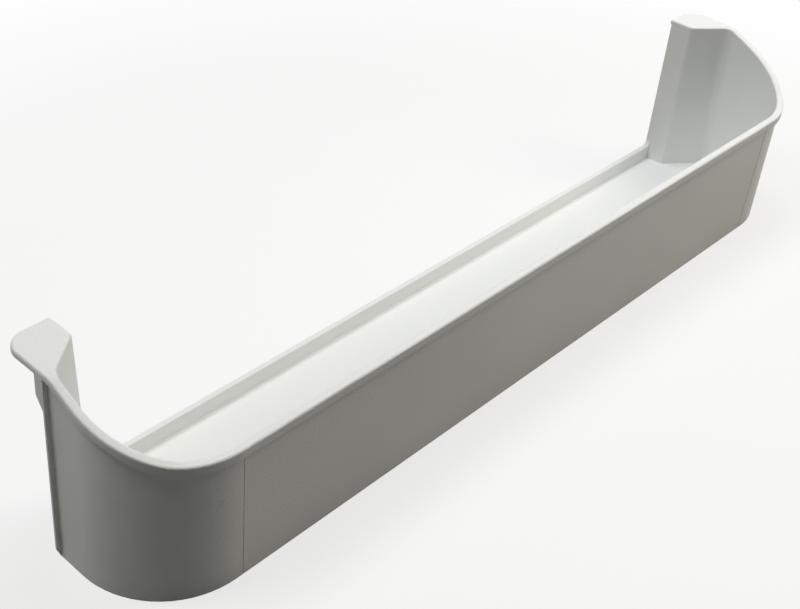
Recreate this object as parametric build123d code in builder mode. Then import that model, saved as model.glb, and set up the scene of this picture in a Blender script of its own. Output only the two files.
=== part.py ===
from build123d import *
import os
from math import cos, radians, tan

os.makedirs("parts", exist_ok=True)

# Tray, in millimetres: +X along the length, +Y to the open rear, z = 0 at the bottom
base_length = 480.0
base_depth = 83.2
front_height = 72.2
ear_height = 95.2
wall = 2.3
floor = 3.6
front_lean = 1.3
end_lean = 2.0
floor_blend = 0.8

# Low lip along the open rear
lip_height = 12.7
lip_thickness = 2.8
lip_blend = 4.0
lip_round = 0.8

# Rim bead, rising from the front into the flat caps of the ears
rim_overhang = 1.8
rim_depth = 4.4
rim_round = 1.2
rim_edge = 1.0
rise_start = 3.5
rise_radius = 30.0
crest_radius = 10.0
cap_length = 29.0
cap_thickness = 2.6
cap_overhang = 1.2
cap_corner = 10.0

# Corner panels that close the tray in front of the two hanging recesses
panel_inset = 25.1
panel_draft = 1.0
panel_flat = 13.5
panel_angle = 38.5
panel_edge = 2.5
panel_bend = 9.0
end_flat = 3.9

# Guide rib and stop tab on the rear edge of each end wall
rib_from_rear = 25.6
rib_thickness = 1.0
rib_lead = 5.0
tab_length = 4.0
tab_drop = 16.0
tab_taper = 6.0

# Shallow parting lines on the front wall, near its rounded corners
line_inset = 46.7
line_width = 0.5
line_depth = 0.25

# Positions that follow from the sizes above, with the origin under the middle of the outline
rim_reach = front_height * tan(radians(front_lean)) + rim_overhang
front_y = (rim_reach - base_depth - cap_overhang) / 2
rear_y = front_y + base_depth
lip_y = rear_y - lip_thickness
rib_y = rear_y - rib_from_rear
tail_y = rib_y + rib_thickness
panel_y = rear_y - panel_flat
panel_reach = (panel_inset - wall) * tan(radians(panel_angle))
bend_reach = panel_bend * tan(radians(90.0 - panel_angle) / 2)
corner_radius = base_depth - panel_flat - panel_reach - bend_reach - end_flat
line_x = base_length / 2 - line_inset
tab_foot = ear_height - cap_thickness - tab_drop

# Cutting shapes run this far past the faces that they cut
margin = 5.0
above = ear_height + margin
behind = rear_y + margin


def end_x(level):
    """Outer face of the end wall at a level."""
    return base_length / 2 - level * tan(radians(end_lean))


def face_y(level):
    """Outer face of the front wall at a level."""
    return front_y - level * tan(radians(front_lean))


def panel_x(level):
    """Inner face of a corner panel at a level."""
    return base_length / 2 - panel_inset + level * tan(radians(panel_draft))


def mirrored(points):
    """Points of the right end, then the same points of the left end in reverse."""
    return points + [(-x, y) for x, y in reversed(points)]


def plan(level, points, bends):
    """Closed plan at a level, given the points and corner radii of its right half."""
    with BuildSketch(Plane.XY.offset(level)) as outline:
        with BuildLine():
            FilletPolyline(*mirrored(points), radius=bends + bends[::-1], close=True)
        make_face()
    return outline.sketch


def wall_plan(level):
    """Outside of the walls, with the steps of the guide ribs."""
    x, y = end_x(level), face_y(level)
    rib_x = x + rim_overhang
    points = [(rib_x, rear_y), (rib_x, rib_y), (x, rib_y), (x, y)]
    return plan(level, points, [0, 0, 0, corner_radius])


def rim_plan(level):
    """Outside of the rim bead and the caps."""
    x, y = end_x(level) + rim_overhang, face_y(level) - rim_overhang
    points = [(x, rear_y + cap_overhang), (x, y)]
    return plan(level, points, [cap_corner, corner_radius + rim_overhang])


def cavity_plan(level):
    """Inside of the tray, narrowing between the corner panels at the rear."""
    x, y = end_x(level) - wall, face_y(level) + wall
    panel = panel_x(level)
    panel_end = panel_y - (x - panel) * tan(radians(panel_angle))
    points = [(panel, lip_y), (panel, panel_y), (x, panel_end), (x, y)]
    return plan(level, points, [0, panel_edge, panel_bend, corner_radius - wall])


def recess_plan(level):
    """Space behind the right corner panel, up to the rear edge of the end wall."""
    x, panel = end_x(level) - wall, panel_x(level) + wall
    slope = tan(radians(panel_angle))
    panel_start = panel_y + wall / cos(radians(panel_angle)) - wall * slope
    panel_end = panel_start - (x - panel) * slope
    with BuildSketch(Plane.XY.offset(level)) as outline:
        with BuildLine():
            Polyline((panel, behind), (panel, panel_start), (x, panel_end), (x, behind), close=True)
        make_face()
    return outline.sketch


def rim_line(front_level, ear_level):
    """Side view of the rim, from a level along the front to a level along the ears."""
    start = front_y + rise_start
    crest = rear_y - cap_length
    ahead = front_y - base_depth
    after = rear_y + base_depth
    points = [(ahead, front_level), (start, front_level), (crest, ear_level), (after, ear_level)]
    return FilletPolyline(*points, radius=[rise_radius, crest_radius])


# Inside of the tray, with the blend along the floor
with BuildPart() as cavity:
    loft([cavity_plan(floor), cavity_plan(above)], ruled=True)
    fillet(cavity.faces().sort_by(Axis.Z)[0].edges(), floor_blend)

# Opening over the rear lip, whose rounded top is blended up into the corner panels
with BuildPart() as opening:
    with BuildSketch(Plane.XZ.offset(-behind)):
        with BuildLine():
            foot = lip_height - lip_round
            points = [(panel_x(above), above), (panel_x(foot), foot)]
            FilletPolyline(*mirrored(points), radius=[0, lip_blend, lip_blend, 0], close=True)
        make_face()
    extrude(amount=behind - lip_y)
    with BuildSketch(Plane.YZ):
        with BuildLine():
            points = [(lip_y, 0), (lip_y, lip_height), (rear_y, lip_height), (rear_y, 0)]
            FilletPolyline(*points, radius=[lip_round, lip_round])
            Line(points[0], points[3])
        make_face()
    extrude(amount=base_length, both=True, mode=Mode.SUBTRACT)

# Rim bead and caps as one shaped band, open over the tray, with rounded edges
with BuildPart() as rim:
    loft([rim_plan(0), rim_plan(above)], ruled=True)
    with BuildSketch(Plane.YZ):
        with BuildLine():
            top = rim_line(front_height, ear_height)
            under = rim_line(front_height - rim_depth, ear_height - cap_thickness)
            Line(top @ 0, under @ 0)
            Line(top @ 1, under @ 1)
        make_face()
    extrude(amount=base_length, both=True, mode=Mode.INTERSECT)
    sides = rim.faces().filter_by(lambda face: abs(face.normal_at().Z) < 0.2)
    tops = rim.faces().filter_by(lambda face: face.normal_at().Z > 0.8)
    fillet(sides.edges() & tops.edges(), rim_round)
    add(cavity.part, mode=Mode.SUBTRACT)
    add(opening.part, mode=Mode.SUBTRACT)
    inside = rim.faces().filter_by(lambda face: abs(face.normal_at().Z) < 0.2)
    tops = rim.faces().filter_by(lambda face: face.normal_at().Z > 0.8)
    fillet(inside.edges() & tops.edges(), rim_edge)

# Recess at the right-hand end, open to the rear, the outside and below
with BuildPart() as recess:
    loft([recess_plan(0), recess_plan(above)], ruled=True)
    with BuildSketch(Plane.YZ.offset(end_x(ear_height) - wall)):
        with BuildLine():
            Polyline(
                (tail_y, 0),
                (tail_y, tab_foot),
                (tail_y + tab_length, tab_foot + tab_taper),
                (tail_y + tab_length, above),
                (behind, above),
                (behind, 0),
                close=True,
            )
        make_face()
    extrude(amount=10 * margin)
    with BuildSketch(Plane.XZ.offset(-tail_y)):
        with BuildLine():
            foot, out = end_x(0), end_x(0) + 2 * rim_overhang
            Polyline((foot, 0), (out, 0), (out, 2 * rib_lead), close=True)
        make_face()
    extrude(amount=rib_thickness)

# The whole moulding
with BuildPart() as door_shelf:
    loft([wall_plan(0), wall_plan(above)], ruled=True)
    add(recess.part, mode=Mode.SUBTRACT)
    mirror(recess.part, about=Plane.YZ, mode=Mode.SUBTRACT)

    # Walls stop inside the rim, which closes them on top
    with BuildSketch(Plane.YZ):
        with BuildLine():
            bite = (cap_thickness - rim_round) / 2
            cut = rim_line(front_height - rim_depth + bite, ear_height - cap_thickness + bite)
            Polyline(cut @ 0, (cut @ 0) + (0, 2 * above), (cut @ 1) + (0, 2 * above), cut @ 1)
        make_face()
    extrude(amount=base_length, both=True, mode=Mode.SUBTRACT)
    add(cavity.part, mode=Mode.SUBTRACT)
    add(opening.part, mode=Mode.SUBTRACT)
    add(rim.part)

    # Parting lines down the front wall, from the bottom to the underside of the rim
    line_top = front_height - rim_depth
    for x in (-line_x, line_x):
        with BuildSketch(Plane.YZ.offset(x - line_width / 2)):
            with BuildLine():
                Polyline(
                    (face_y(0) - margin, 0),
                    (face_y(0) + line_depth, 0),
                    (face_y(line_top) + line_depth, line_top),
                    (face_y(line_top) - margin, line_top),
                    close=True,
                )
            make_face()
        extrude(amount=line_width, mode=Mode.SUBTRACT)

door_shelf.part.label = "door_shelf"
export_step(door_shelf.part, "parts/door_shelf.step")
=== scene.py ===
import math

import bmesh
import bpy
from mathutils import Matrix, Vector


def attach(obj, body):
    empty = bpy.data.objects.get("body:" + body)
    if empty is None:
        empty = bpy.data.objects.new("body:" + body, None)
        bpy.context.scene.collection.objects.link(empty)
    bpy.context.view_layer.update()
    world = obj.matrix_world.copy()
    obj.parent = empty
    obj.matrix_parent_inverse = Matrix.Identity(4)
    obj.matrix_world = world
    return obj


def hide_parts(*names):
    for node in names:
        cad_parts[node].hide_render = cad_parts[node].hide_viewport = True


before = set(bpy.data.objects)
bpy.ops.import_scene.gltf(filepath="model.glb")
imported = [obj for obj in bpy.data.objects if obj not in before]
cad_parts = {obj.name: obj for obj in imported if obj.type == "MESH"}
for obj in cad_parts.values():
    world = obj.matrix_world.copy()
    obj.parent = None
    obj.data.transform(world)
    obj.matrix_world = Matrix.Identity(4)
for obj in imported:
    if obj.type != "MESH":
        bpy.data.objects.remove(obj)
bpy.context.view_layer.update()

# Camera at the photograph's viewpoint: metres, degrees, and a focal length in photograph pixels
PHOTO_WIDTH = 800
FOCAL_PIXELS = 1266.7
CAMERA_PLACE = Vector((-0.42089, -0.30303, 0.39760))
CAMERA_YAW = 40.136
CAMERA_PITCH = -36.6575
CAMERA_ROLL = 4.861
CLIP_NEAR, CLIP_FAR = 0.01, 20

# Skin of the moulding: weld distance in metres, angle of a sharp edge, weight of large faces
WELD_DISTANCE = 0.00001
SHARP_ANGLE = math.radians(32)
LARGE_FACE_WEIGHT = 100

# Satin plastic: linear colours, and roughness between two levels of the flow marks
PLASTIC_WHITE = (0.865, 0.875, 0.86, 1)
PLASTIC_SHADE = (0.83, 0.84, 0.825, 1)
PLASTIC_IOR = 1.5
PLASTIC_SPECULAR = 0.3
FLOW_LOW, FLOW_HIGH = 0.3, 0.7
ROUGH_LOW, ROUGH_HIGH = 0.40, 0.50

# Grain and flow marks: scales per metre, and the grain's depth in metres
GRAIN_SCALE, GRAIN_DETAIL = 1400, 3
FLOW_SCALE, FLOW_DETAIL = 16, 4
GRAIN_DEPTH = 0.00025
GRAIN_STRENGTH = 0.55

# Paper floor: its size in metres, linear colours as seen and as thrown back, and its own glow
FLOOR_SIZE = 6.0
FLOOR_SEEN = (0.90, 0.90, 0.90, 1)
FLOOR_BOUNCE = (0.24, 0.24, 0.24, 1)
FLOOR_GLOW = 0.7
PAPER_WHITE = (1, 1, 1, 1)

# Distances from the shelf's middle, in metres, between which the floor fades to the backdrop's white
FADE_START, FADE_END = 0.22, 0.55

# Room light, then the studio lamps: name, place, width and height in metres, watts and colour
ROOM_LEVEL = 0.01
ROOM_COLOUR = (1.0, 0.98, 0.94, 1)
LAMP_AIM = Vector((0, 0, 0.04))
LAMPS = (
    ("rear left box", (-0.95, 1.00, 0.90), 0.5, 0.5, 1.6, (0.95, 0.97, 1.0)),
    ("left high box", (-0.60, 0.35, 1.25), 0.5, 0.5, 6.5, (1.0, 0.98, 0.90)),
    ("front right box", (0.70, -0.46, 0.80), 0.5, 0.5, 5.25, (1.0, 0.95, 0.80)),
    ("top strip box", (0.20, 0.08, 0.70), 0.4, 0.08, 2.1, (0.86, 0.90, 1.0)),
)


def moulded_grain_group():
    """Fine spark-eroded grain of a moulded plastic: a height for bump and a mask for tone and gloss."""
    group = bpy.data.node_groups.new("moulded grain", "ShaderNodeTree")
    nodes, links = group.nodes, group.links
    entry, leave = nodes.new("NodeGroupInput"), nodes.new("NodeGroupOutput")
    place = nodes.new("ShaderNodeTexCoord")
    for label, result, scale, detail in (
        ("Grain Scale", "Height", GRAIN_SCALE, GRAIN_DETAIL),
        ("Flow Scale", "Flow", FLOW_SCALE, FLOW_DETAIL),
    ):
        given = group.interface.new_socket(label, in_out="INPUT", socket_type="NodeSocketFloat")
        given.default_value = scale
        group.interface.new_socket(result, in_out="OUTPUT", socket_type="NodeSocketFloat")
        noise = nodes.new("ShaderNodeTexNoise")
        noise.inputs["Detail"].default_value = detail
        links.new(place.outputs["Object"], noise.inputs["Vector"])
        links.new(entry.outputs[label], noise.inputs["Scale"])
        links.new(noise.outputs["Fac"], leave.inputs[result])
    return group


def new_material(name):
    """A node material without nodes, with its nodes and links to fill."""
    material = bpy.data.materials.new(name)
    material.use_nodes = True
    material.node_tree.nodes.clear()
    return material, material.node_tree.nodes, material.node_tree.links


def brought_to_range(nodes, links, value, start, end, low, high, curve):
    """A value between start and end, brought to the range from low to high."""
    change = nodes.new("ShaderNodeMapRange")
    change.interpolation_type = curve
    change.inputs["From Min"].default_value = start
    change.inputs["From Max"].default_value = end
    change.inputs["To Min"].default_value = low
    change.inputs["To Max"].default_value = high
    links.new(value, change.inputs["Value"])
    return change.outputs["Result"]


def shelf_plastic():
    """White satin plastic with a fine moulded grain and faint flow marks."""
    material, nodes, links = new_material("shelf plastic")
    grain = nodes.new("ShaderNodeGroup")
    grain.node_tree = moulded_grain_group()
    flow = grain.outputs["Flow"]
    tone = nodes.new("ShaderNodeMix")
    tone.data_type = "RGBA"
    tone.inputs["A"].default_value = PLASTIC_WHITE
    tone.inputs["B"].default_value = PLASTIC_SHADE
    links.new(flow, tone.inputs["Factor"])
    gloss = brought_to_range(nodes, links, flow, FLOW_LOW, FLOW_HIGH, ROUGH_LOW, ROUGH_HIGH, "LINEAR")
    bump = nodes.new("ShaderNodeBump")
    bump.inputs["Strength"].default_value = GRAIN_STRENGTH
    bump.inputs["Distance"].default_value = GRAIN_DEPTH
    links.new(grain.outputs["Height"], bump.inputs["Height"])
    shader = nodes.new("ShaderNodeBsdfPrincipled")
    shader.inputs["IOR"].default_value = PLASTIC_IOR
    shader.inputs["Specular IOR Level"].default_value = PLASTIC_SPECULAR
    links.new(tone.outputs["Result"], shader.inputs["Base Color"])
    links.new(gloss, shader.inputs["Roughness"])
    links.new(bump.outputs["Normal"], shader.inputs["Normal"])
    output = nodes.new("ShaderNodeOutputMaterial")
    links.new(shader.outputs["BSDF"], output.inputs["Surface"])
    return material


def shelf_moulding(node):
    """The shelf as one welded, smoothly shaded skin, from a copy of the CAD node's triangles."""
    mesh = node.data.copy()
    mesh.name = "shelf_moulding"
    skin = bmesh.new()
    skin.from_mesh(mesh)
    bmesh.ops.remove_doubles(skin, verts=skin.verts, dist=WELD_DISTANCE)
    for face in skin.faces:
        face.smooth = True
    for edge in skin.edges:
        edge.smooth = edge.calc_face_angle(math.pi) < SHARP_ANGLE
    skin.to_mesh(mesh)
    skin.free()
    shelf = bpy.data.objects.new("shelf_moulding", mesh)
    bpy.context.scene.collection.objects.link(shelf)
    mesh.materials.clear()
    mesh.materials.append(shelf_plastic())
    normals = shelf.modifiers.new("face weighted normals", "WEIGHTED_NORMAL")
    normals.keep_sharp = True
    normals.weight = LARGE_FACE_WEIGHT
    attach(shelf, "root")
    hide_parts("door_shelf")


def seen_by_viewer(nodes, links):
    """A factor that is 1 for rays that the viewer sees, straight, mirrored or through glass."""
    path = nodes.new("ShaderNodeLightPath")
    seen = path.outputs["Is Camera Ray"]
    for kind in ("Is Glossy Ray", "Is Transmission Ray"):
        either = nodes.new("ShaderNodeMath")
        either.operation = "MAXIMUM"
        links.new(seen, either.inputs[0])
        links.new(path.outputs[kind], either.inputs[1])
        seen = either.outputs["Value"]
    return seen


def mixed_shader(nodes, links, first, second, factor):
    """A mix of two shaders by a factor."""
    mixed = nodes.new("ShaderNodeMixShader")
    links.new(first, mixed.inputs[1])
    links.new(second, mixed.inputs[2])
    links.new(factor, mixed.inputs["Fac"])
    return mixed.outputs["Shader"]


def paper_finish():
    """Pale paper that shows shadows, throws little light back and fades to white away from the shelf."""
    material, nodes, links = new_material("paper floor")
    lit, dim = nodes.new("ShaderNodeBsdfDiffuse"), nodes.new("ShaderNodeBsdfDiffuse")
    glow = nodes.new("ShaderNodeEmission")
    lit.inputs["Color"].default_value = FLOOR_SEEN
    dim.inputs["Color"].default_value = FLOOR_BOUNCE
    glow.inputs["Color"].default_value = PAPER_WHITE
    place, reach = nodes.new("ShaderNodeTexCoord"), nodes.new("ShaderNodeVectorMath")
    reach.operation = "LENGTH"
    links.new(place.outputs["Object"], reach.inputs[0])
    distance = reach.outputs["Value"]
    fade = brought_to_range(nodes, links, distance, FADE_START, FADE_END, FLOOR_GLOW, 1, "SMOOTHSTEP")
    pale = mixed_shader(nodes, links, lit.outputs["BSDF"], glow.outputs["Emission"], fade)
    paper = mixed_shader(nodes, links, dim.outputs["BSDF"], pale, seen_by_viewer(nodes, links))
    output = nodes.new("ShaderNodeOutputMaterial")
    links.new(paper, output.inputs["Surface"])
    return material


def paper_floor():
    """The square floor that the shelf stands on."""
    mesh = bpy.data.meshes.new("paper_floor")
    sheet = bmesh.new()
    bmesh.ops.create_grid(sheet, x_segments=1, y_segments=1, size=FLOOR_SIZE / 2)
    sheet.to_mesh(mesh)
    sheet.free()
    mesh.materials.append(paper_finish())
    floor = bpy.data.objects.new("paper_floor", mesh)
    bpy.context.scene.collection.objects.link(floor)


def studio_world():
    """Dim even room light, behind a white backdrop."""
    world = bpy.data.worlds.new("studio")
    bpy.context.scene.world = world
    world.use_nodes = True
    nodes, links = world.node_tree.nodes, world.node_tree.links
    nodes.clear()
    room, backdrop = nodes.new("ShaderNodeBackground"), nodes.new("ShaderNodeBackground")
    room.inputs["Color"].default_value = ROOM_COLOUR
    room.inputs["Strength"].default_value = ROOM_LEVEL
    backdrop.inputs["Color"].default_value = PAPER_WHITE
    seen = seen_by_viewer(nodes, links)
    sky = mixed_shader(nodes, links, room.outputs["Background"], backdrop.outputs["Background"], seen)
    output = nodes.new("ShaderNodeOutputWorld")
    links.new(sky, output.inputs["Surface"])


def soft_box(name, place, width, height, watts, colour):
    """A rectangular studio lamp at a place, turned to the shelf."""
    lamp = bpy.data.lights.new(name, "AREA")
    lamp.shape = "RECTANGLE"
    lamp.size, lamp.size_y = width, height
    lamp.energy = watts
    lamp.color = colour
    box = bpy.data.objects.new(name, lamp)
    box.location = place
    box.rotation_euler = (LAMP_AIM - Vector(place)).to_track_quat("-Z", "Y").to_euler()
    bpy.context.scene.collection.objects.link(box)


def photograph_camera():
    """The camera that took the photograph, from its place, three angles and focal length."""
    yaw, pitch, roll = (math.radians(angle) for angle in (CAMERA_YAW, CAMERA_PITCH, CAMERA_ROLL))
    ahead = Vector((math.cos(pitch) * math.cos(yaw), math.cos(pitch) * math.sin(yaw), math.sin(pitch)))
    level = ahead.cross(Vector((0, 0, 1))).normalized()
    upright = level.cross(ahead)
    right = math.cos(roll) * level + math.sin(roll) * upright
    up = math.cos(roll) * upright - math.sin(roll) * level
    camera = bpy.data.cameras.new("photograph camera")
    camera.lens = FOCAL_PIXELS * camera.sensor_width / PHOTO_WIDTH
    camera.clip_start, camera.clip_end = CLIP_NEAR, CLIP_FAR
    stand = bpy.data.objects.new("photograph camera", camera)
    turn = Matrix((right, up, -ahead)).transposed().to_4x4()
    stand.matrix_world = Matrix.Translation(CAMERA_PLACE) @ turn
    bpy.context.scene.collection.objects.link(stand)
    bpy.context.scene.camera = stand


shelf_moulding(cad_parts["door_shelf"])
paper_floor()
studio_world()
for lamp_values in LAMPS:
    soft_box(*lamp_values)
photograph_camera()
bpy.context.scene.view_settings.view_transform = "Standard"
